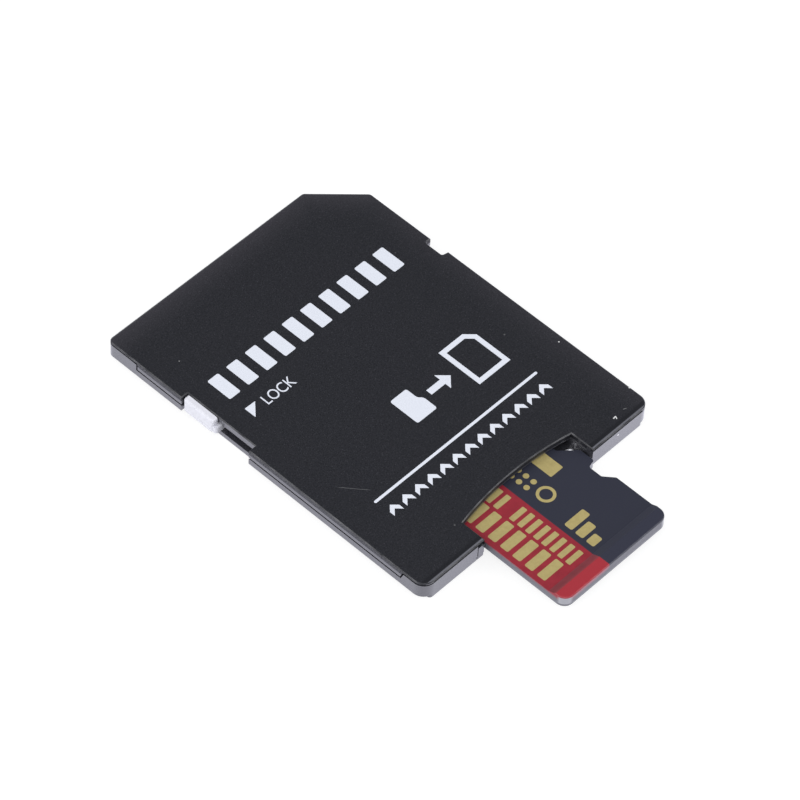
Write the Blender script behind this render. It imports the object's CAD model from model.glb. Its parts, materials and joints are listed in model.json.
"""Finish, printing and studio for a memory card half drawn out of its full-size adapter.

Metres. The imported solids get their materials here. Added to them are the printing on the cover and on
the card. Three pieces stand for a solid each: the two mouldings, with one corner drawn out to a smaller
rounding, and the leaf spring, with a dish pressed into its foot. Then come the floor, the lights and the
camera.
"""
import json
import math

import bmesh
import bpy
from mathutils import Matrix, Vector


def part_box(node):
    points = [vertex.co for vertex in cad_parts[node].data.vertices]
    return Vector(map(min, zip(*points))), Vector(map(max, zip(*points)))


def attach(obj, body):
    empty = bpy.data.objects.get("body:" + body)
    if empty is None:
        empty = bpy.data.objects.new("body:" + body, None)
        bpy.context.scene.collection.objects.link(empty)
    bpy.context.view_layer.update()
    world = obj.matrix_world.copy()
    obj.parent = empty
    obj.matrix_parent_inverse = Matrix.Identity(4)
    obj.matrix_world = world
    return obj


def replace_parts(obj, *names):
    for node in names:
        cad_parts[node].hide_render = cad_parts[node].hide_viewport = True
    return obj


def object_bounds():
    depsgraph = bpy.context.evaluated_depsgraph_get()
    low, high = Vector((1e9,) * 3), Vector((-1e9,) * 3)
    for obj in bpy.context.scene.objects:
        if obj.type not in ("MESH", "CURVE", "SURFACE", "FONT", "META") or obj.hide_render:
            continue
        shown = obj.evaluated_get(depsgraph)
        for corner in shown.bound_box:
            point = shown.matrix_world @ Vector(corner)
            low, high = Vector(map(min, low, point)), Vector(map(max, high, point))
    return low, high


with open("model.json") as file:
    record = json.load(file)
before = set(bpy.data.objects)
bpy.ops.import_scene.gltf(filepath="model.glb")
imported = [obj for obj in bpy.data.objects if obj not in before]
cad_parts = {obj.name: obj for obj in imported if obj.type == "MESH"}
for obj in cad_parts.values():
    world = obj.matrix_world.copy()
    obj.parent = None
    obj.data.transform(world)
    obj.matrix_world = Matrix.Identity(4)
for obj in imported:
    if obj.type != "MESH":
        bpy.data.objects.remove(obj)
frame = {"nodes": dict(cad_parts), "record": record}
cad_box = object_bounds()

MM = 0.001

# Vertices nearer than this are one
WELD = 0.0005 * MM

# Faces that carry print
COVER_LOW, COVER_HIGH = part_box("top_cover")
COVER_TOP = COVER_HIGH.z
CARD_LOW, CARD_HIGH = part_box("card_body")
LIP_HEIGHT = 0.3 * MM
CARD_TOP = CARD_HIGH.z - LIP_HEIGHT

# Ink: its height over the face and its depth in it
INK_HEIGHT = 0.008 * MM
INK_SINK = 0.002 * MM
ROUND_STEPS = 6

# Cover's walls: the height at which their texture ends, over what softness, and the distances from the
# middle between which the notch walls stand
TEXTURE_END = 1.66 * MM
TEXTURE_SOFT = 0.04 * MM
NOTCH_WALL = (11.0 * MM, 11.6 * MM)

# Cover's face: the cut corner as x + y, the width of the rim along the leading edge, how far in from the
# edges it is rubbed paler and how much less so by the side, what counts as its flat, and where the light
# and the dark line along the tail begin and end
CUT_CORNER = 24.4 * MM
RIM_WIDTH = 0.16 * MM
RUBBED_WIDTH = 3.0 * MM
RUBBED_SIDE = 0.75
FLAT_WITHIN = 0.004 * MM
TAIL_LIGHT = (0.17 * MM, 0.23 * MM)
TAIL_DARK = (0.46 * MM, 0.6 * MM)

# Card's print, as depths below the lip's top: the lip's own tone, the end of the print on the walls, and
# the reach in which worn red fades out below it; and how soft the borders of the print are
LIP_TONE = (0.02 * MM, 0.1 * MM)
PRINT_WRAP = 0.13 * MM
RED_FADE = (0.26 * MM, 0.6 * MM)
PRINT_SOFT = 0.012 * MM

# Leading left corner: its rounding in the solids, the smaller one in the photo, and the reach from the
# corner's centre within which nothing moves
CORNER_SOLID = 1.0 * MM
CORNER_SEEN = 0.45 * MM
CORNER_KEEP = 0.69 * MM

# Dish pressed into the leaf spring's foot: the foot's thickness, what counts as level with its top, the
# dish's setback from the foot's tip and tail, its size, and the power by which its wall rises
FOOT_STOCK = 0.12 * MM
LEVEL_WITHIN = 0.001 * MM
DISH_SETBACK = 0.52 * MM
DISH_RADIUS = 0.47 * MM
DISH_DEPTH = 0.115 * MM
DISH_POWER = 3.5
DISH_RINGS = 8
DISH_SEGMENTS = 40

# Printing on the cover, from the middle of the adapter
BAR_COUNT = 10
BAR_ROW = (-9.6 * MM, 8.8 * MM)
BAR_FOOT = 5.75 * MM
BAR_HEIGHT = 2.35 * MM
BAR_WIDTH = 1.1 * MM
BAR_ROUND = 0.12 * MM
LOCK_ARROW_CORNERS = [
    (-9.47 * MM, 4.39 * MM),
    (-9.45 * MM, 3.28 * MM),
    (-8.42 * MM, 4.36 * MM),
]
LOCK_ARROW_ROUND = 0.06 * MM
LOCK_LEFT = -7.94 * MM
LOCK_FOOT = 3.42 * MM
LOCK_WIDTH = 2.94 * MM
LOCK_HEIGHT = 0.94 * MM
RULE_SPAN = (-8.97 * MM, 8.17 * MM)
RULE_MIDDLE = -8.2 * MM
RULE_WIDTH = 0.23 * MM
RULE_ROUND = 0.49 * RULE_WIDTH
CHEVRON_COUNT = 13
CHEVRON_ROW = (-8.8 * MM, 7.9 * MM)
CHEVRON_FOOT = -10.4 * MM
CHEVRON_SIZE = (0.95 * MM, 1.3 * MM)
CHEVRON_STROKE = 0.48 * MM

# Pictogram on the cover: a small card, an arrow and the adapter that it goes into
PICTOGRAM_FOOT = -6.05 * MM
PICTOGRAM_HEIGHT = 4.15 * MM
SMALL_CARD_LEFT = -1.5 * MM
SMALL_CARD_SIZE = (2.05 * MM, 2.8 * MM)
SMALL_CARD_STEP = (0.35 * MM, 1.1 * MM)
PICTOGRAM_ARROW_LEFT = 1.15 * MM
PICTOGRAM_ARROW_SIZE = (2.3 * MM, 1.7 * MM)
PICTOGRAM_ARROW_SHAFT = 0.55 * MM
LARGE_CARD_LEFT = 4.35 * MM
LARGE_CARD_SIZE = (3.3 * MM, 4.15 * MM)
LARGE_CARD_CUT = 0.75 * MM
LARGE_CARD_STROKE = 0.42 * MM
PICTOGRAM_ROUND = 0.18 * MM

# Flaws in the cover: flecks as x, y and radius, scratches as two ends, width and strength
COVER_FLECKS = [
    (11.44 * MM, -7.4 * MM, 0.06 * MM),
    (11.92 * MM, -13.95 * MM, 0.08 * MM),
    (-9.7 * MM, 10.9 * MM, 0.03 * MM),
]
COVER_SCRATCHES = [
    ((-9.9 * MM, -5.3 * MM), (-8.27 * MM, -7.31 * MM), 0.06 * MM, 0.12),
    ((8.9 * MM, -15.09 * MM), (9.22 * MM, -15.03 * MM), 0.16 * MM, 1.0),
    ((9.2 * MM, -15.0 * MM), (9.09 * MM, -15.3 * MM), 0.14 * MM, 1.0),
    ((10.05 * MM, -14.98 * MM), (10.35 * MM, -15.1 * MM), 0.07 * MM, 0.25),
]
WALL_FLECK = Vector((8.49 * MM, -16.0 * MM, 1.4 * MM))
WALL_FLECK_RADIUS = 0.09 * MM

# Printing on the card, from the card's left edge and tail
RED_WIDTH = 4.65 * MM
LARGE_ROW = (0.45 * MM, 2.5 * MM)
LARGE_ROW_START = 2.4 * MM
LARGE_ROW_PITCH = 1.2 * MM
LARGE_ROW_COUNT = 9
LARGE_BAR = 0.78 * MM
LARGE_BAR_ROUND = 0.12 * MM
SMALL_ROW = (2.75 * MM, 4.25 * MM)
SMALL_ROW_START = 2.1 * MM
SMALL_ROW_PITCH = 0.78 * MM
SMALL_ROW_COUNT = 12
SMALL_ROW_SPACE = 8
SMALL_BAR = 0.46 * MM
SMALL_BAR_ROUND = 0.08 * MM
GAUGE_LEFT = 5.15 * MM
GAUGE_START = 2.0 * MM
GAUGE_PITCH = 1.05 * MM
GAUGE_BAR = 0.75 * MM
GAUGE_ROUND = 0.2 * GAUGE_BAR
GAUGE_HEIGHTS = (1.0 * MM, 1.5 * MM, 2.0 * MM)
RING_CENTRE = (6.25 * MM, 7.6 * MM)
RING_RADII = (0.5 * MM, 0.75 * MM)
DOT_START = (5.7 * MM, 9.0 * MM)
DOT_PITCH = 0.75 * MM
DOT_GRID = (2, 3)
DOT_RADIUS = 0.24 * MM
BLOCK_LEFT = 7.65 * MM
BLOCK_START = 8.4 * MM
BLOCK_SIZE = (1.3 * MM, 2.2 * MM)
BLOCK_ROUND = 0.1 * MM

# Floor, just clear of the flat underside: its half width, its colour as it lights the object, its colour
# and glow as it is seen, and the tint and added glow in reflections, which grows across the object
FLOOR_DROP = 0.02 * MM
FLOOR_REACH = 3.0
FLOOR_PLAIN = (0.85, 0.85, 0.86, 1)
FLOOR_SHADED = (0.3, 0.3, 0.3, 1)
FLOOR_WHITE = (1, 1, 1, 1)
FLOOR_GLOW = 0.8
FLOOR_TINT = (0.86, 0.855, 1, 1)
FLOOR_GAIN = (0.07, 0.27)
FLOOR_GAIN_SPAN = (-10 * MM, 9 * MM)

# Lights: direction from the object, distance, width and power of each soft box, and the sky
SOFTBOXES = {
    "left_softbox": ((-0.78, 0.41, 0.47), 0.5, 0.35, 1.2),
    "front_softbox": ((0.47, -0.78, 0.41), 0.5, 0.35, 1.2),
    "top_softbox": ((-0.45, -0.3, 0.85), 0.6, 0.4, 1.0),
}
SKY_COLOUR = (0.95, 0.97, 1.0, 1)
SKY_STRENGTH = 0.4

# Camera, fitted to the outline of the adapter
CAMERA_EYE = Vector((-166.93, -148.27, 275.01)) * MM
CAMERA_FORWARD = Vector((0.4732, 0.4140, -0.7776))
CAMERA_UP = Vector((0.5472, 0.5537, 0.6277))
CAMERA_LENS = 217.2
CAMERA_SENSOR = 36.0
CAMERA_CLIP = (0.01, 20.0)


# Printed shapes

def plate(mesh, corners, rounding=0.0):
    """Flat face through (x, y) corners, rounded where asked."""
    points = [mesh.verts.new((x, y, 0)) for x, y in corners]
    mesh.faces.new(points)
    if rounding:
        bmesh.ops.bevel(mesh, geom=points, offset=rounding, offset_type="OFFSET", affect="VERTICES",
                        segments=ROUND_STEPS, profile=0.5, material=-1)


def rectangle(mesh, left, foot, width, height, rounding=0.0):
    right = left + width
    top = foot + height
    plate(mesh, [(left, foot), (right, foot), (right, top), (left, top)], rounding)


def edges_of(points):
    """The edges at some points, each once."""
    return list(dict.fromkeys(edge for point in points for edge in point.link_edges))


def disc(mesh, centre, radius, segments=24):
    middle = Matrix.Translation((*centre, 0))
    bmesh.ops.create_circle(mesh, cap_ends=True, segments=segments, radius=radius, matrix=middle)


def ring(mesh, centre, radii, segments=40):
    middle = Matrix.Translation((*centre, 0))
    edges = []
    for radius in radii:
        made = bmesh.ops.create_circle(mesh, segments=segments, radius=radius, matrix=middle)
        edges += edges_of(made["verts"])
    bmesh.ops.bridge_loops(mesh, edges=edges)


def band(mesh, corners, stroke):
    """Closed band of one width inside (x, y) corners that run anticlockwise."""
    outer = [Vector(corner) for corner in corners]
    count = len(outer)
    inner = []
    for index, corner in enumerate(outer):
        before = (corner - outer[index - 1]).normalized()
        after = (outer[(index + 1) % count] - corner).normalized()
        inward = Vector((-before.y - after.y, before.x + after.x))
        inner.append(corner + inward * stroke / (1 + before.dot(after)))
    rims = [[mesh.verts.new((point.x, point.y, 0)) for point in rim] for rim in (outer, inner)]
    for index in range(count):
        following = (index + 1) % count
        mesh.faces.new((rims[0][index], rims[0][following], rims[1][following], rims[1][index]))


def lettering(mesh, words, left, foot, width, height):
    """Plain lettering as flat faces, fitted to a place."""
    curve = bpy.data.curves.new("lettering", "FONT")
    curve.body = words
    text = bpy.data.objects.new("lettering", curve)
    bpy.context.scene.collection.objects.link(text)
    bpy.context.view_layer.update()
    flat = bpy.data.meshes.new_from_object(text.evaluated_get(bpy.context.evaluated_depsgraph_get()))
    bpy.data.objects.remove(text)
    low = Vector((min(v.co.x for v in flat.vertices), min(v.co.y for v in flat.vertices), 0))
    high = Vector((max(v.co.x for v in flat.vertices), max(v.co.y for v in flat.vertices), 0))
    size = Matrix.Diagonal((width / (high.x - low.x), height / (high.y - low.y), 1, 1))
    flat.transform(Matrix.Translation((left, foot, 0)) @ size @ Matrix.Translation(-low))
    mesh.from_mesh(flat)
    bmesh.ops.remove_doubles(mesh, verts=mesh.verts[:], dist=WELD)


def carried_piece(name, data, body):
    """Object of a finished mesh, on the body that carries it."""
    piece = bpy.data.objects.new(name, data)
    bpy.context.scene.collection.objects.link(piece)
    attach(piece, body)
    return piece


def finished_piece(name, mesh, body, material):
    """Object made of a drawn mesh."""
    data = bpy.data.meshes.new(name)
    mesh.to_mesh(data)
    mesh.free()
    data.materials.append(material)
    return carried_piece(name, data, body)


def print_piece(name, draw, level, body, material):
    """One printed piece: flat shapes raised to the ink's height on the face that carries them."""
    mesh = bmesh.new()
    draw(mesh)
    raised = bmesh.ops.extrude_face_region(mesh, geom=mesh.faces[:])
    tops = [item for item in raised["geom"] if isinstance(item, bmesh.types.BMVert)]
    bmesh.ops.translate(mesh, verts=tops, vec=(0, 0, INK_HEIGHT + INK_SINK))
    bmesh.ops.translate(mesh, verts=mesh.verts[:], vec=(0, 0, level - INK_SINK))
    bmesh.ops.recalc_face_normals(mesh, faces=mesh.faces[:])
    finished_piece(name, mesh, body, material)


def draw_bars(mesh):
    """Row of upright bars across the cover."""
    pitch = (BAR_ROW[1] - BAR_ROW[0] - BAR_WIDTH) / (BAR_COUNT - 1)
    for index in range(BAR_COUNT):
        rectangle(mesh, BAR_ROW[0] + index * pitch, BAR_FOOT, BAR_WIDTH, BAR_HEIGHT, BAR_ROUND)


def draw_lock_mark(mesh):
    """Arrow head and the word beside it, which show the way the slider locks."""
    plate(mesh, LOCK_ARROW_CORNERS, LOCK_ARROW_ROUND)
    lettering(mesh, "LOCK", LOCK_LEFT, LOCK_FOOT, LOCK_WIDTH, LOCK_HEIGHT)


def draw_rule(mesh):
    rectangle(mesh, RULE_SPAN[0], RULE_MIDDLE - RULE_WIDTH / 2, RULE_SPAN[1] - RULE_SPAN[0], RULE_WIDTH,
              RULE_ROUND)


def draw_chevrons(mesh):
    """Row of arrow heads that point the way the adapter goes in."""
    width, height = CHEVRON_SIZE
    pitch = (CHEVRON_ROW[1] - CHEVRON_ROW[0] - width) / (CHEVRON_COUNT - 1)
    for index in range(CHEVRON_COUNT):
        left = CHEVRON_ROW[0] + index * pitch
        middle = left + width / 2
        right = left + width
        shoulder = CHEVRON_FOOT + height - CHEVRON_STROKE - width / 2
        plate(mesh, [
            (left, shoulder),
            (middle, shoulder + width / 2),
            (right, shoulder),
            (right, shoulder + CHEVRON_STROKE),
            (middle, CHEVRON_FOOT + height),
            (left, shoulder + CHEVRON_STROKE),
        ])


def draw_pictogram(mesh):
    """Small card, arrow, and the outline of the adapter."""
    middle = PICTOGRAM_FOOT + PICTOGRAM_HEIGHT / 2
    width, height = SMALL_CARD_SIZE
    step, step_foot = SMALL_CARD_STEP
    left = SMALL_CARD_LEFT
    foot = middle - height / 2
    plate(mesh, [
        (left, foot),
        (left + width, foot),
        (left + width, foot + height - step_foot - step),
        (left + width - step, foot + height - step_foot),
        (left + width - step, foot + height),
        (left, foot + height),
    ], PICTOGRAM_ROUND)
    shaft = PICTOGRAM_ARROW_SHAFT / 2
    head = PICTOGRAM_ARROW_LEFT + PICTOGRAM_ARROW_SIZE[0] - PICTOGRAM_ARROW_SIZE[1] / 2
    plate(mesh, [
        (PICTOGRAM_ARROW_LEFT, middle - shaft),
        (head, middle - shaft),
        (head, middle - PICTOGRAM_ARROW_SIZE[1] / 2),
        (PICTOGRAM_ARROW_LEFT + PICTOGRAM_ARROW_SIZE[0], middle),
        (head, middle + PICTOGRAM_ARROW_SIZE[1] / 2),
        (head, middle + shaft),
        (PICTOGRAM_ARROW_LEFT, middle + shaft),
    ])
    left = LARGE_CARD_LEFT
    width, height = LARGE_CARD_SIZE
    band(mesh, [
        (left, PICTOGRAM_FOOT),
        (left + width, PICTOGRAM_FOOT),
        (left + width, PICTOGRAM_FOOT + height - LARGE_CARD_CUT),
        (left + width - LARGE_CARD_CUT, PICTOGRAM_FOOT + height),
        (left, PICTOGRAM_FOOT + height),
    ], LARGE_CARD_STROKE)


def on_card(left, start):
    """A place on the card, measured from its left edge and its tail."""
    return CARD_LOW.x + left, CARD_LOW.y + start


def draw_card_bars(mesh):
    """Two rows of bars on the red field."""
    for index in range(LARGE_ROW_COUNT):
        x, y = on_card(LARGE_ROW[0], LARGE_ROW_START + index * LARGE_ROW_PITCH)
        rectangle(mesh, x, y, LARGE_ROW[1] - LARGE_ROW[0], LARGE_BAR, LARGE_BAR_ROUND)
    for index in range(SMALL_ROW_COUNT + 1):
        if index == SMALL_ROW_SPACE:
            continue
        x, y = on_card(SMALL_ROW[0], SMALL_ROW_START + index * SMALL_ROW_PITCH)
        rectangle(mesh, x, y, SMALL_ROW[1] - SMALL_ROW[0], SMALL_BAR, SMALL_BAR_ROUND)


def draw_card_marks(mesh):
    """Gauge of three bars, ring, dots and block on the dark field."""
    for index, height in enumerate(GAUGE_HEIGHTS):
        x, y = on_card(GAUGE_LEFT, GAUGE_START + index * GAUGE_PITCH)
        rectangle(mesh, x, y, height, GAUGE_BAR, GAUGE_ROUND)
    ring(mesh, on_card(*RING_CENTRE), RING_RADII)
    for column in range(DOT_GRID[0]):
        for row in range(DOT_GRID[1]):
            centre = on_card(DOT_START[0] + column * DOT_PITCH, DOT_START[1] + row * DOT_PITCH)
            disc(mesh, centre, DOT_RADIUS)
    x, y = on_card(BLOCK_LEFT, BLOCK_START)
    rectangle(mesh, x, y, *BLOCK_SIZE, BLOCK_ROUND)


# Pieces that stand for a solid

def corner_reach(across, along):
    """Distance from the corner's centre to the tighter outline, in a direction of length one."""
    straight = CORNER_SOLID - CORNER_SEEN
    steep, shallow = max(across, along), min(across, along)
    if shallow * CORNER_SOLID <= steep * straight:
        return CORNER_SOLID / steep
    middle = straight * (across + along)
    return middle + math.sqrt(middle ** 2 - 2 * straight ** 2 + CORNER_SEEN ** 2)


def tighter_corner(node, name):
    """A moulding with its leading left corner drawn out to the smaller rounding."""
    centre = Vector((COVER_LOW.x + CORNER_SOLID, COVER_HIGH.y - CORNER_SOLID))
    data = frame["nodes"][node].data.copy()
    data.name = name
    for vertex in data.vertices:
        out = Vector((centre.x - vertex.co.x, vertex.co.y - centre.y))
        if min(out) < 0 or out.length < CORNER_KEEP:
            continue
        out.normalize()
        shift = corner_reach(*out) - CORNER_SOLID
        vertex.co.x -= out.x * shift
        vertex.co.y += out.y * shift
    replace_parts(carried_piece(name, data, "adapter"), node)


def pressed_spring(material):
    """The leaf spring with the round dish that is pressed into its foot."""
    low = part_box("latch_spring")[0]
    level = low.z + FOOT_STOCK
    leaf = frame["nodes"]["latch_spring"].data
    mesh = bmesh.new()
    points = [mesh.verts.new(vertex.co) for vertex in leaf.vertices]
    for polygon in leaf.polygons:
        mesh.faces.new([points[index] for index in polygon.vertices])
    bmesh.ops.remove_doubles(mesh, verts=points, dist=WELD)
    mesh.normal_update()
    top = [face for face in mesh.faces
           if face.normal.z > 0.99 and abs(face.calc_center_median().z - level) < LEVEL_WITHIN]
    bmesh.ops.delete(mesh, geom=top, context="FACES_KEEP_BOUNDARY")
    outline = [edge for edge in mesh.edges if edge.is_boundary]
    loops = []
    for number in range(DISH_RINGS, 0, -1):
        share = number / DISH_RINGS
        depth = DISH_DEPTH * (1 - share ** DISH_POWER)
        centre = Matrix.Translation((low.x + DISH_SETBACK, low.y + DISH_SETBACK, level - depth))
        made = bmesh.ops.create_circle(mesh, cap_ends=number == 1, segments=DISH_SEGMENTS,
                                       radius=share * DISH_RADIUS, matrix=centre)
        loops.append(edges_of(made["verts"]))
    bmesh.ops.triangle_fill(mesh, edges=outline + loops[0], use_beauty=True, normal=(0, 0, 1))
    for outer, inner in zip(loops, loops[1:]):
        dish = bmesh.ops.bridge_loops(mesh, edges=outer + inner)
        for face in dish["faces"]:
            face.smooth = True
    bmesh.ops.recalc_face_normals(mesh, faces=mesh.faces[:])
    piece = finished_piece("latch_spring_pressed", mesh, "adapter", material)
    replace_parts(piece, "latch_spring")


# Shader nodes

def add(tree, kind, inputs=None, **settings):
    """One node. Inputs are given by name or number, each a plain value or a socket to link."""
    node = tree.nodes.new(kind)
    for name, value in settings.items():
        setattr(node, name, value)
    for name, value in (inputs or {}).items():
        if isinstance(value, bpy.types.NodeSocket):
            tree.links.new(value, node.inputs[name])
        else:
            node.inputs[name].default_value = value
    return node


def math_step(tree, operation, first, second=0.0, clamp=False):
    node = add(tree, "ShaderNodeMath", {0: first, 1: second}, operation=operation, use_clamp=clamp)
    return node.outputs[0]


def product(tree, first, second):
    return math_step(tree, "MULTIPLY", first, second)


def ramp(tree, value, low, high, start=0.0, end=1.0):
    """The value's stretch from low to high, spread over start to end."""
    inputs = {"Value": value, "From Min": low, "From Max": high, "To Min": start, "To Max": end}
    return add(tree, "ShaderNodeMapRange", inputs).outputs[0]


def blend(tree, mask, first, second, way="MIX"):
    """Colour that goes from the first to the second as the mask rises, or gains the second."""
    node = add(tree, "ShaderNodeMix", {0: mask, 6: first, 7: second}, data_type="RGBA", blend_type=way)
    return node.outputs[2]


def place(tree):
    return add(tree, "ShaderNodeTexCoord").outputs["Object"]


def noise(tree, where, scale, detail=2.0, roughness=0.5):
    inputs = {"Vector": where, "Scale": scale, "Detail": detail, "Roughness": roughness}
    return add(tree, "ShaderNodeTexNoise", inputs).outputs[0]


def new_group(name, inputs, outputs):
    """Empty node group with number inputs and outputs; returns it with its two end nodes."""
    group = bpy.data.node_groups.new(name, "ShaderNodeTree")
    for socket, value in inputs.items():
        made = group.interface.new_socket(socket, in_out="INPUT", socket_type="NodeSocketFloat")
        made.default_value = value
    for socket in outputs:
        group.interface.new_socket(socket, in_out="OUTPUT", socket_type="NodeSocketFloat")
    return group, group.nodes.new("NodeGroupInput"), group.nodes.new("NodeGroupOutput")


def use_group(tree, group, **inputs):
    """A group placed in a material, with its values."""
    node = tree.nodes.new("ShaderNodeGroup")
    node.node_tree = group
    for name, value in inputs.items():
        node.inputs[name].default_value = value
    return node


def moulded_grain_group():
    """Spark-eroded mould texture: its height, its pits, and the few grains that catch the light."""
    group, start, end = new_group("moulded_grain", {"Scale": COVER_GRAIN}, ["Height", "Pit", "Glint"])
    where = place(group)
    coarse = noise(group, where, start.outputs["Scale"], 3.0, 0.65)
    fine_scale = product(group, start.outputs["Scale"], 2.3)
    fine = noise(group, where, fine_scale, 1.0)
    height = math_step(group, "ADD", coarse, product(group, fine, 0.4))
    group.links.new(height, end.inputs["Height"])
    group.links.new(ramp(group, coarse, 0.52, 0.36), end.inputs["Pit"])
    group.links.new(ramp(group, fine, 0.62, 0.78), end.inputs["Glint"])
    return group


def worn_edge_group():
    """Mask of the narrow bevels and rounded edges, broken up as handling polishes them."""
    group, start, end = new_group("worn_edge", {"Breakup": 900.0, "Flattest": 0.97}, ["Mask"])
    coordinates = add(group, "ShaderNodeTexCoord")
    split = add(group, "ShaderNodeSeparateXYZ", {0: coordinates.outputs["Normal"]})
    upright = math_step(group, "ABSOLUTE", split.outputs["Z"])
    above = math_step(group, "GREATER_THAN", upright, 0.2)
    below = math_step(group, "LESS_THAN", upright, start.outputs["Flattest"])
    patchy = ramp(group, noise(group, coordinates.outputs["Object"], start.outputs["Breakup"]), 0.3, 0.7)
    bevel = product(group, above, below)
    group.links.new(product(group, bevel, patchy), end.inputs["Mask"])
    return group


def dust_group():
    """Sparse small flecks."""
    group, start, end = new_group("dust", {"Scale": 700.0, "Share": 0.1}, ["Mask"])
    inputs = {"Vector": place(group), "Scale": start.outputs["Scale"]}
    cells = add(group, "ShaderNodeTexVoronoi", inputs)
    chosen = add(group, "ShaderNodeSeparateColor", {0: cells.outputs["Color"]})
    few = math_step(group, "LESS_THAN", chosen.outputs[0], start.outputs["Share"])
    small = ramp(group, cells.outputs["Distance"], 0.1, 0.04)
    group.links.new(product(group, few, small), end.inputs["Mask"])
    return group


def new_material(name):
    """Material with its shader; returns the material, its tree and the Principled node."""
    material = bpy.data.materials.new(name)
    material.use_nodes = True
    tree = material.node_tree
    return material, tree, tree.nodes["Principled BSDF"]


def set_values(shader, **values):
    for name, value in values.items():
        shader.inputs[name.replace("_", " ")].default_value = value


def bump(tree, shader, height, distance, strength=1.0):
    node = add(tree, "ShaderNodeBump", {"Height": height, "Distance": distance, "Strength": strength})
    tree.links.new(node.outputs[0], shader.inputs["Normal"])


def spot_mask(tree, centre, radius):
    """One small ragged fleck."""
    where = place(tree)
    ragged = product(tree, noise(tree, where, 1 / radius), radius)
    apart = add(tree, "ShaderNodeVectorMath", {0: where, 1: centre}, operation="DISTANCE")
    distance = math_step(tree, "ADD", apart.outputs["Value"], ragged)
    return ramp(tree, distance, 1.6 * radius, 1.2 * radius)


def scratch_mask(tree, start, end, width):
    """One fine scratch between two points on the cover."""
    along = end - start
    turn = math.atan2(along.y, along.x)
    mapping = add(tree, "ShaderNodeMapping", {
        "Vector": place(tree),
        "Location": (start + end) / 2,
        "Rotation": (0, 0, turn),
    }, vector_type="TEXTURE")
    split = add(tree, "ShaderNodeSeparateXYZ", {0: mapping.outputs[0]})
    wander = ramp(tree, noise(tree, mapping.outputs[0], 1500.0), 0.0, 1.0, -width, width)
    off = math_step(tree, "ABSOLUTE", math_step(tree, "SUBTRACT", split.outputs["Y"], wander))
    line = ramp(tree, off, width / 2, width / 4)
    reach = ramp(tree, math_step(tree, "ABSOLUTE", split.outputs["X"]), along.length / 2, along.length / 3)
    return product(tree, line, reach)


# Materials

COVER_DARK = (0.0165, 0.0172, 0.0225, 1)
COVER_GLINT = (0.07, 0.07, 0.084, 1)
COVER_PIT = (0.006, 0.0065, 0.01, 1)
COVER_RUBBED = (0.024, 0.0213, 0.0247, 1)
COVER_SMOOTH = (0.05, 0.05, 0.06, 1)
COVER_RIM = (0.09, 0.09, 0.1, 1)
COVER_LINE = (0.145, 0.147, 0.17, 1)
FLECK = (0.8, 0.8, 0.8, 1)
SHELL_GREY = (0.034, 0.034, 0.042, 1)
SHELL_GREY_LIGHT = (0.044, 0.044, 0.053, 1)
SHELL_POLISHED = (0.2, 0.2, 0.21, 1)
SLIDER_WHITE = (0.81, 0.81, 0.88, 1)
SLIDER_HANDLED = (0.7, 0.7, 0.76, 1)
SLIDER_DIRT = (0.3, 0.29, 0.28, 1)
INK_WHITE = (0.83, 0.86, 0.95, 1)
INK_WHITE_THIN = (0.66, 0.68, 0.77, 1)
CARD_RED = (0.34, 0.026, 0.042, 1)
CARD_RED_DEEP = (0.27, 0.02, 0.033, 1)
CARD_RED_LIP = (0.4, 0.031, 0.045, 1)
CARD_RED_WORN = (0.38, 0.17, 0.21, 1)
CARD_GRIME = (0.06, 0.08, 0.088, 1)
CARD_NAVY = (0.029, 0.031, 0.049, 1)
CARD_NAVY_LIGHT = (0.038, 0.041, 0.06, 1)
CARD_NAVY_LIP = (0.034, 0.036, 0.058, 1)
CARD_NAVY_STEP = (0.036, 0.038, 0.059, 1)
CARD_BARE = (0.17, 0.17, 0.195, 1)
CARD_SCUFFED = (0.42, 0.42, 0.46, 1)
CARD_POLISHED = (0.4, 0.4, 0.42, 1)
INK_GOLD = (0.56, 0.46, 0.19, 1)
INK_GOLD_DARK = (0.36, 0.28, 0.1, 1)
STEEL = (0.68, 0.68, 0.72, 1)
STEEL_DULL = (0.58, 0.58, 0.62, 1)
GOLD = (0.83, 0.6, 0.24, 1)
GOLD_DULL = (0.72, 0.5, 0.2, 1)
BOARD_BLACK = (0.012, 0.013, 0.015, 1)
BOARD_TRACK = (0.022, 0.023, 0.022, 1)
CHIP_GREY = (0.17, 0.18, 0.21, 1)
CHIP_GREY_LIGHT = (0.23, 0.24, 0.27, 1)
CERAMIC = (0.42, 0.29, 0.18, 1)
CERAMIC_LIGHT = (0.5, 0.37, 0.24, 1)

# Grain of the cover, which its print follows, and the part of a noise's range that holds most of it
COVER_GRAIN = 9000.0
NOISE_SPREAD = (0.3, 0.7)

# Roughness of each material, from and to
COVER_ROUGH = (0.5, 0.58)
SHELL_ROUGH = (0.3, 0.38)
SLIDER_ROUGH = (0.46, 0.56)
INK_WHITE_ROUGH = (0.42, 0.55)
INK_GOLD_ROUGH = (0.38, 0.5)
CARD_ROUGH = (0.36, 0.44)
METAL_ROUGH = (0.2, 0.34)
BOARD_ROUGH = (0.24, 0.32)
CHIP_ROUGH = (0.18, 0.28)

# Bump of each material: its depth and strength
COVER_BUMP = (0.012 * MM, 0.6)
SHELL_BUMP = (0.003 * MM, 0.4)
SLIDER_BUMP = (0.004 * MM, 0.4)
INK_WHITE_BUMP = (0.006 * MM, 0.5)
INK_GOLD_BUMP = (0.004 * MM, 0.5)
CARD_BUMP = (0.004 * MM, 0.5)
METAL_BUMP = (0.001 * MM, 0.4)
BOARD_BUMP = (0.008 * MM, 0.6)

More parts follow.
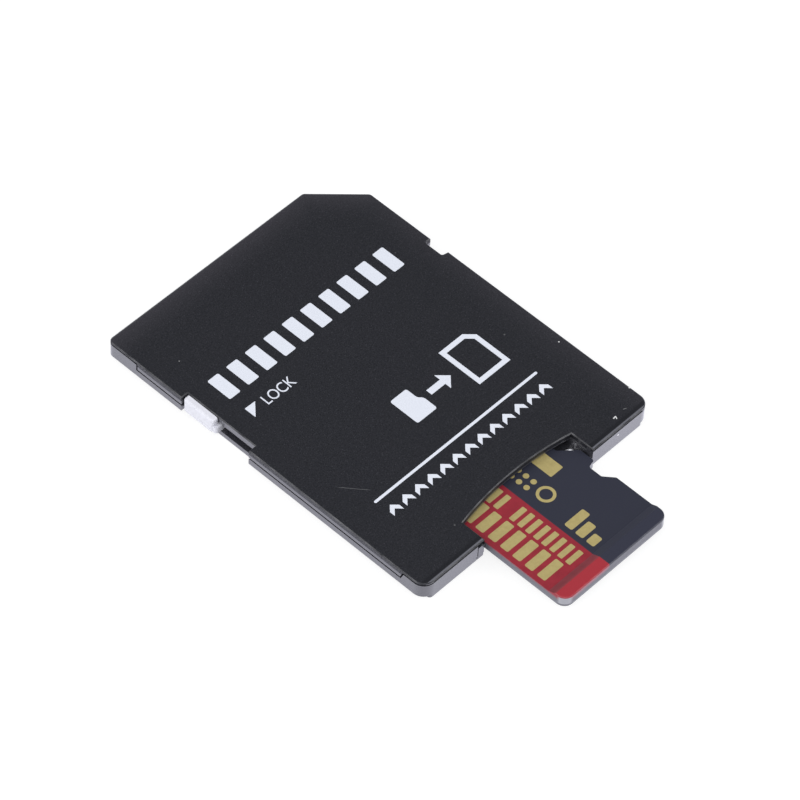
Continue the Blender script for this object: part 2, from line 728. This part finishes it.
# How far each kind of wear or dirt covers what is under it
COVER_DARK_LINE = 0.7
COVER_EDGE_WEAR = 0.5
COVER_EDGE_COAT = 0.28
COVER_WALL_COAT = (0.45, 0.05)
COVER_WALL_POLISH = 0.24
COVER_DUST = 0.12
SHELL_EDGE_WEAR = 0.4
SLIDER_HANDLING = 0.25
SLIDER_DUST = 0.3
INK_WHITE_WEAR = 0.5
INK_GOLD_CLOUD = 0.35
INK_GOLD_SPECKLE = 0.4
CARD_STEP_GRIME = 0.3
CARD_EDGE_WEAR = 0.12


def wall_masks(tree):
    """The cover's long sides, and its upright faces that are smooth: the low ones and those in notches."""
    coordinates = add(tree, "ShaderNodeTexCoord")
    where = add(tree, "ShaderNodeSeparateXYZ", {0: coordinates.outputs["Object"]})
    facing = add(tree, "ShaderNodeSeparateXYZ", {0: coordinates.outputs["Normal"]})
    upright = math_step(tree, "LESS_THAN", math_step(tree, "ABSOLUTE", facing.outputs["Z"]), 0.1)
    low = ramp(tree, where.outputs["Z"], TEXTURE_END + TEXTURE_SOFT, TEXTURE_END - TEXTURE_SOFT)
    across = math_step(tree, "ABSOLUTE", where.outputs["X"])
    inside = math_step(tree, "LESS_THAN", across, NOTCH_WALL[1])
    notch = product(tree, inside, math_step(tree, "GREATER_THAN", across, NOTCH_WALL[0]))
    smooth = product(tree, upright, math_step(tree, "MAXIMUM", low, notch))
    sides = math_step(tree, "GREATER_THAN", math_step(tree, "ABSOLUTE", facing.outputs["X"]), 0.9)
    return sides, smooth


def rim_mask(tree):
    """Narrow rim of the printed face along the leading edge and the cut corner."""
    split = add(tree, "ShaderNodeSeparateXYZ", {0: place(tree)})
    lead = ramp(tree, split.outputs["Y"], COVER_HIGH.y - RIM_WIDTH, COVER_HIGH.y - RIM_WIDTH / 2)
    across = math_step(tree, "ADD", split.outputs["X"], split.outputs["Y"])
    cut = ramp(tree, across, CUT_CORNER - 1.4 * RIM_WIDTH, CUT_CORNER - 0.7 * RIM_WIDTH)
    top = math_step(tree, "GREATER_THAN", split.outputs["Z"], COVER_TOP - RIM_WIDTH)
    return product(tree, top, math_step(tree, "MAXIMUM", lead, cut))


def rubbed_masks(tree):
    """The face's paler reaches by its far edges, and its light and dark lines by the tail."""
    split = add(tree, "ShaderNodeSeparateXYZ", {0: place(tree)})
    across = math_step(tree, "ADD", split.outputs["X"], split.outputs["Y"])
    lead = ramp(tree, split.outputs["Y"], COVER_HIGH.y - RUBBED_WIDTH, COVER_HIGH.y)
    cut = ramp(tree, across, CUT_CORNER - math.sqrt(2) * RUBBED_WIDTH, CUT_CORNER)
    side = ramp(tree, split.outputs["X"], COVER_HIGH.x - RUBBED_WIDTH, COVER_HIGH.x, 0.0, RUBBED_SIDE)
    near = math_step(tree, "MAXIMUM", side, math_step(tree, "MAXIMUM", lead, cut))
    flat = math_step(tree, "GREATER_THAN", split.outputs["Z"], COVER_TOP - FLAT_WITHIN)
    light, dark = [ramp(tree, split.outputs["Y"], COVER_LOW.y + line[1], COVER_LOW.y + line[0])
                   for line in (TAIL_LIGHT, TAIL_DARK)]
    return product(tree, near, near), product(tree, flat, light), dark


def cover_plastic(grain, worn, dust):
    """Black moulded plastic: fine texture, rubbed edges, flecks, a hooked mark and faint scratches."""
    material, tree, shader = new_material("cover_plastic")
    texture = use_group(tree, grain, Scale=COVER_GRAIN)
    edges = use_group(tree, worn, Breakup=900.0)
    specks = use_group(tree, dust, Scale=1100.0, Share=0.03)
    sides, smooth = wall_masks(tree)
    pale, tail_light, tail_dark = rubbed_masks(tree)
    colour = blend(tree, texture.outputs["Pit"], COVER_DARK, COVER_PIT)
    colour = blend(tree, texture.outputs["Glint"], colour, COVER_GLINT)
    colour = blend(tree, pale, colour, COVER_RUBBED, "ADD")
    colour = blend(tree, product(tree, tail_dark, COVER_DARK_LINE), colour, COVER_PIT)
    colour = blend(tree, tail_light, colour, COVER_LINE)
    colour = blend(tree, smooth, colour, COVER_SMOOTH)
    colour = blend(tree, product(tree, edges.outputs["Mask"], COVER_EDGE_WEAR), colour, COVER_GLINT)
    colour = blend(tree, rim_mask(tree), colour, COVER_RIM)
    colour = blend(tree, product(tree, specks.outputs["Mask"], COVER_DUST), colour, FLECK)
    for x, y, radius in COVER_FLECKS:
        colour = blend(tree, spot_mask(tree, (x, y, COVER_TOP), radius), colour, FLECK)
    for start, end, width, strength in COVER_SCRATCHES:
        ends = [Vector((x, y, COVER_TOP)) for x, y in (start, end)]
        mask = product(tree, scratch_mask(tree, *ends, width), strength)
        colour = blend(tree, mask, colour, FLECK)
    tree.links.new(colour, shader.inputs["Base Color"])
    rough = ramp(tree, noise(tree, place(tree), 260.0), *NOISE_SPREAD, *COVER_ROUGH)
    polished = product(tree, smooth, COVER_WALL_POLISH)
    tree.links.new(math_step(tree, "SUBTRACT", rough, polished), shader.inputs["Roughness"])
    satin = product(tree, sides, ramp(tree, texture.outputs["Pit"], 0.0, 0.6, *COVER_WALL_COAT))
    rubbed = product(tree, edges.outputs["Mask"], COVER_EDGE_COAT)
    glossy = math_step(tree, "MAXIMUM", smooth, math_step(tree, "MAXIMUM", satin, rubbed))
    tree.links.new(glossy, shader.inputs["Coat Weight"])
    set_values(shader, Specular_IOR_Level=0.3, Coat_Roughness=0.2, Coat_IOR=1.8)
    bump(tree, shader, texture.outputs["Height"], *COVER_BUMP)
    return material


def shell_plastic(grain, worn):
    """Smooth dark grey plastic with faint flow marks and polished edges."""
    material, tree, shader = new_material("shell_plastic")
    texture = use_group(tree, grain, Scale=14000.0)
    edges = use_group(tree, worn, Breakup=700.0)
    flow = add(tree, "ShaderNodeMapping", {"Vector": place(tree), "Scale": (1.0, 0.25, 1.0)})
    marks = ramp(tree, noise(tree, flow.outputs[0], 420.0, 4.0), *NOISE_SPREAD)
    colour = blend(tree, marks, SHELL_GREY, SHELL_GREY_LIGHT)
    colour = blend(tree, product(tree, edges.outputs["Mask"], SHELL_EDGE_WEAR), colour, SHELL_POLISHED)
    colour = blend(tree, spot_mask(tree, WALL_FLECK, WALL_FLECK_RADIUS), colour, FLECK)
    tree.links.new(colour, shader.inputs["Base Color"])
    tree.links.new(ramp(tree, marks, 0.0, 1.0, *SHELL_ROUGH), shader.inputs["Roughness"])
    set_values(shader, Coat_Weight=1.0, Coat_Roughness=0.2, Coat_IOR=1.85)
    bump(tree, shader, texture.outputs["Height"], *SHELL_BUMP)
    return material


def white_plastic(grain, dust):
    """White slider, with a little dirt from handling."""
    material, tree, shader = new_material("slider_plastic")
    texture = use_group(tree, grain, Scale=12000.0)
    specks = use_group(tree, dust, Scale=1800.0, Share=0.08)
    cloud = ramp(tree, noise(tree, place(tree), 900.0, 4.0), 0.35, 0.75)
    colour = blend(tree, product(tree, cloud, SLIDER_HANDLING), SLIDER_WHITE, SLIDER_HANDLED)
    colour = blend(tree, product(tree, specks.outputs["Mask"], SLIDER_DUST), colour, SLIDER_DIRT)
    tree.links.new(colour, shader.inputs["Base Color"])
    tree.links.new(ramp(tree, cloud, 0.0, 1.0, *SLIDER_ROUGH), shader.inputs["Roughness"])
    set_values(shader, Specular_IOR_Level=0.25)
    bump(tree, shader, texture.outputs["Height"], *SLIDER_BUMP)
    return material


def white_ink(grain):
    """White print that follows the cover's texture and thins on its grains."""
    material, tree, shader = new_material("white_ink")
    texture = use_group(tree, grain, Scale=COVER_GRAIN)
    thin = product(tree, texture.outputs["Glint"], INK_WHITE_WEAR)
    tree.links.new(blend(tree, thin, INK_WHITE, INK_WHITE_THIN), shader.inputs["Base Color"])
    rough = ramp(tree, texture.outputs["Height"], 0.4, 1.0, *INK_WHITE_ROUGH)
    tree.links.new(rough, shader.inputs["Roughness"])
    bump(tree, shader, texture.outputs["Height"], *INK_WHITE_BUMP)
    return material


def gold_ink(grain):
    """Pale gold print, slightly speckled."""
    material, tree, shader = new_material("gold_ink")
    texture = use_group(tree, grain, Scale=12000.0)
    cloud = ramp(tree, noise(tree, place(tree), 2600.0, 4.0, 0.7), 0.4, 0.7)
    colour = blend(tree, product(tree, cloud, INK_GOLD_CLOUD), INK_GOLD, INK_GOLD_DARK)
    speckle = product(tree, texture.outputs["Glint"], INK_GOLD_SPECKLE)
    colour = blend(tree, speckle, colour, INK_GOLD_DARK)
    tree.links.new(colour, shader.inputs["Base Color"])
    tree.links.new(ramp(tree, cloud, 0.0, 1.0, *INK_GOLD_ROUGH), shader.inputs["Roughness"])
    set_values(shader, Metallic=0.25)
    bump(tree, shader, texture.outputs["Height"], *INK_GOLD_BUMP)
    return material


def card_plastic(grain, worn):
    """Moulded card: bare scuffed sides, and a face printed red along one side and dark on the rest."""
    material, tree, shader = new_material("card_plastic")
    texture = use_group(tree, grain, Scale=11000.0)
    edges = use_group(tree, worn, Breakup=1200.0, Flattest=0.88)
    coordinates = add(tree, "ShaderNodeTexCoord")
    split = add(tree, "ShaderNodeSeparateXYZ", {0: coordinates.outputs["Object"]})
    facing = add(tree, "ShaderNodeSeparateXYZ", {0: coordinates.outputs["Normal"]})
    cloud = ramp(tree, noise(tree, coordinates.outputs["Object"], 1400.0, 4.0, 0.6), *NOISE_SPREAD)
    depth = math_step(tree, "SUBTRACT", CARD_HIGH.z, split.outputs["Z"])
    on_lip = ramp(tree, depth, LIP_TONE[1], LIP_TONE[0])
    red = blend(tree, on_lip, blend(tree, cloud, CARD_RED, CARD_RED_DEEP), CARD_RED_LIP)
    navy = blend(tree, texture.outputs["Glint"], CARD_NAVY, CARD_NAVY_LIGHT)
    border = CARD_LOW.x + RED_WIDTH
    on_navy = ramp(tree, split.outputs["X"], border - PRINT_SOFT, border + PRINT_SOFT)
    step = ramp(tree, facing.outputs["Y"], 0.15, 0.3)
    red = blend(tree, product(tree, step, CARD_STEP_GRIME), red, CARD_GRIME)
    navy = blend(tree, step, blend(tree, on_lip, navy, CARD_NAVY_LIP), CARD_NAVY_STEP)
    face = blend(tree, on_navy, red, navy)
    wrapped = ramp(tree, depth, PRINT_WRAP + PRINT_SOFT, PRINT_WRAP - PRINT_SOFT)
    printed = math_step(tree, "MAXIMUM", ramp(tree, facing.outputs["Z"], 0.45, 0.6), wrapped)
    fade = ramp(tree, depth, RED_FADE[1], RED_FADE[0])
    fade = product(tree, product(tree, fade, fade), math_step(tree, "SUBTRACT", 1.0, on_navy))
    thin = blend(tree, ramp(tree, facing.outputs["X"], -0.3, -0.9), CARD_RED_WORN, CARD_RED)
    bare = blend(tree, fade, CARD_BARE, thin)
    diagonal = math_step(tree, "ABSOLUTE", product(tree, facing.outputs["X"], facing.outputs["Y"]))
    bare = blend(tree, ramp(tree, diagonal, 0.04, 0.25), bare, CARD_SCUFFED)
    colour = blend(tree, printed, bare, face)
    colour = blend(tree, product(tree, edges.outputs["Mask"], CARD_EDGE_WEAR), colour, CARD_POLISHED)
    tree.links.new(colour, shader.inputs["Base Color"])
    tree.links.new(ramp(tree, cloud, 0.0, 1.0, *CARD_ROUGH), shader.inputs["Roughness"])
    set_values(shader, Specular_IOR_Level=0.3)
    bump(tree, shader, texture.outputs["Height"], *CARD_BUMP)
    return material


def metal(name, colour, dull_colour, grain):
    """Rolled and stamped metal, with rolling lines along its length."""
    material, tree, shader = new_material(name)
    rolled = add(tree, "ShaderNodeMapping", {"Vector": place(tree), "Scale": (1.0, 0.05, 1.0)})
    lines = noise(tree, rolled.outputs[0], 16000.0, 3.0, 0.7)
    patches = ramp(tree, noise(tree, place(tree), 800.0, 3.0), 0.4, 0.75)
    texture = use_group(tree, grain, Scale=20000.0)
    tree.links.new(blend(tree, patches, colour, dull_colour), shader.inputs["Base Color"])
    rough = ramp(tree, lines, *NOISE_SPREAD, *METAL_ROUGH)
    tree.links.new(rough, shader.inputs["Roughness"])
    set_values(shader, Metallic=1.0)
    bump(tree, shader, math_step(tree, "ADD", lines, texture.outputs["Height"]), *METAL_BUMP)
    return material


def board_laminate():
    """Black solder mask over copper tracks that show faintly through it, with moulding over its edges."""
    material, tree, shader = new_material("board_laminate")
    coordinates = add(tree, "ShaderNodeTexCoord")
    where = coordinates.outputs["Object"]
    facing = add(tree, "ShaderNodeSeparateXYZ", {0: coordinates.outputs["Normal"]})
    edge = math_step(tree, "LESS_THAN", math_step(tree, "ABSOLUTE", facing.outputs["Z"]), 0.5)
    tracks = add(tree, "ShaderNodeTexWave", {
        "Vector": where,
        "Scale": 420.0,
        "Distortion": 0.0,
    }, bands_direction="X").outputs["Fac"]
    zones = ramp(tree, noise(tree, where, 260.0, 1.0), 0.48, 0.52)
    copper = product(tree, ramp(tree, tracks, 0.55, 0.65), zones)
    colour = blend(tree, copper, BOARD_BLACK, BOARD_TRACK)
    colour = blend(tree, edge, colour, CARD_BARE)
    tree.links.new(colour, shader.inputs["Base Color"])
    rough = ramp(tree, noise(tree, where, 1200.0, 3.0), *NOISE_SPREAD, *BOARD_ROUGH)
    tree.links.new(rough, shader.inputs["Roughness"])
    bump(tree, shader, copper, *BOARD_BUMP)
    return material


def chip_silicon():
    """Ground back of a chip: swirled grinding lines on grey."""
    material, tree, shader = new_material("chip_silicon")
    rings = add(tree, "ShaderNodeTexWave", {
        "Vector": place(tree),
        "Scale": 2500.0,
        "Distortion": 2.0,
    }, wave_type="RINGS").outputs["Fac"]
    colour = blend(tree, rings, CHIP_GREY, CHIP_GREY_LIGHT)
    tree.links.new(colour, shader.inputs["Base Color"])
    tree.links.new(ramp(tree, rings, 0.0, 1.0, *CHIP_ROUGH), shader.inputs["Roughness"])
    set_values(shader, Metallic=0.6)
    return material


def capacitor_body():
    """Fired ceramic, slightly mottled."""
    material, tree, shader = new_material("capacitor_body")
    mottled = ramp(tree, noise(tree, place(tree), 9000.0, 3.0), *NOISE_SPREAD)
    colour = blend(tree, mottled, CERAMIC, CERAMIC_LIGHT)
    tree.links.new(colour, shader.inputs["Base Color"])
    set_values(shader, Roughness=0.5)
    return material


def finish_nodes(materials):
    """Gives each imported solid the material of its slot."""
    for part in frame["record"]["subparts"]:
        slots = frame["nodes"][part["node"]].data.materials
        slots.clear()
        slots.append(materials[part["material_slot"]])


# Studio

def floor_material():
    """White floor that keeps a soft shadow, glows more in reflections, and is clear from below."""
    material, tree, shader = new_material("floor_white")
    tree.nodes.remove(shader)
    path = add(tree, "ShaderNodeLightPath")
    glossy = path.outputs["Is Glossy Ray"]
    seen = math_step(tree, "ADD", path.outputs["Is Camera Ray"], glossy)
    seen = math_step(tree, "ADD", seen, path.outputs["Is Transmission Ray"], clamp=True)
    plain = add(tree, "ShaderNodeBsdfDiffuse", {"Color": FLOOR_PLAIN})
    shaded = add(tree, "ShaderNodeBsdfDiffuse", {"Color": FLOOR_SHADED})
    tint = blend(tree, glossy, FLOOR_WHITE, FLOOR_TINT)
    across = add(tree, "ShaderNodeSeparateXYZ", {0: place(tree)}).outputs["X"]
    gain = ramp(tree, across, *FLOOR_GAIN_SPAN, *FLOOR_GAIN)
    strength = math_step(tree, "ADD", product(tree, glossy, gain), FLOOR_GLOW)
    glow = add(tree, "ShaderNodeEmission", {"Color": tint, "Strength": strength})
    white = add(tree, "ShaderNodeAddShader", {0: shaded.outputs[0], 1: glow.outputs[0]})
    front = add(tree, "ShaderNodeMixShader", {0: seen, 1: plain.outputs[0], 2: white.outputs[0]})
    clear = add(tree, "ShaderNodeBsdfTransparent")
    behind = add(tree, "ShaderNodeNewGeometry").outputs["Backfacing"]
    both = add(tree, "ShaderNodeMixShader", {0: behind, 1: front.outputs[0], 2: clear.outputs[0]})
    tree.links.new(both.outputs[0], tree.nodes["Material Output"].inputs["Surface"])
    return material


def make_floor():
    mesh = bmesh.new()
    level = Matrix.Translation((0, 0, cad_box[0].z - FLOOR_DROP))
    bmesh.ops.create_grid(mesh, x_segments=1, y_segments=1, size=FLOOR_REACH, matrix=level)
    data = bpy.data.meshes.new("floor")
    mesh.to_mesh(data)
    mesh.free()
    data.materials.append(floor_material())
    floor = bpy.data.objects.new("floor", data)
    bpy.context.scene.collection.objects.link(floor)


def softbox(name, direction, distance, size, power):
    """Square soft light that looks at the middle of the object."""
    light = bpy.data.lights.new(name, "AREA")
    light.size = size
    light.energy = power
    lamp = bpy.data.objects.new(name, light)
    lamp.location = (cad_box[0] + cad_box[1]) / 2 + Vector(direction).normalized() * distance
    lamp.rotation_euler = Vector(direction).to_track_quat("Z", "Y").to_euler()
    bpy.context.scene.collection.objects.link(lamp)


def make_world():
    world = bpy.data.worlds.new("studio")
    world.use_nodes = True
    sky = world.node_tree.nodes["Background"]
    sky.inputs["Color"].default_value = SKY_COLOUR
    sky.inputs["Strength"].default_value = SKY_STRENGTH
    bpy.context.scene.world = world


def make_camera():
    data = bpy.data.cameras.new("camera")
    data.lens = CAMERA_LENS
    data.sensor_width = CAMERA_SENSOR
    data.clip_start, data.clip_end = CAMERA_CLIP
    camera = bpy.data.objects.new("camera", data)
    back = -CAMERA_FORWARD.normalized()
    right = CAMERA_UP.cross(back).normalized()
    up = back.cross(right)
    turn = Matrix((right, up, back)).transposed().to_4x4()
    camera.matrix_world = Matrix.Translation(CAMERA_EYE) @ turn
    bpy.context.scene.collection.objects.link(camera)
    bpy.context.scene.camera = camera


def main():
    grain = moulded_grain_group()
    worn = worn_edge_group()
    dust = dust_group()
    steel = metal("spring_steel", STEEL, STEEL_DULL, grain)
    finish_nodes({
        "cover_plastic": cover_plastic(grain, worn, dust),
        "shell_plastic": shell_plastic(grain, worn),
        "slider_plastic": white_plastic(grain, dust),
        "spring_steel": steel,
        "gold_plate": metal("gold_plate", GOLD, GOLD_DULL, grain),
        "card_plastic": card_plastic(grain, worn),
        "board_laminate": board_laminate(),
        "chip_silicon": chip_silicon(),
        "capacitor_body": capacitor_body(),
    })
    white = white_ink(grain)
    gold = gold_ink(grain)
    cover_print = {
        "print_bars": draw_bars,
        "print_lock_mark": draw_lock_mark,
        "print_pictogram": draw_pictogram,
        "print_rule": draw_rule,
        "print_chevrons": draw_chevrons,
    }
    for name, draw in cover_print.items():
        print_piece(name, draw, COVER_TOP, "adapter", white)
    card_print = {"card_print_bars": draw_card_bars, "card_print_marks": draw_card_marks}
    for name, draw in card_print.items():
        print_piece(name, draw, CARD_TOP, "card", gold)
    tighter_corner("top_cover", "top_cover_drawn")
    tighter_corner("bottom_shell", "bottom_shell_drawn")
    pressed_spring(steel)
    make_floor()
    make_world()
    for name, facts in SOFTBOXES.items():
        softbox(name, *facts)
    make_camera()
    bpy.context.scene.view_settings.view_transform = "Standard"


main()
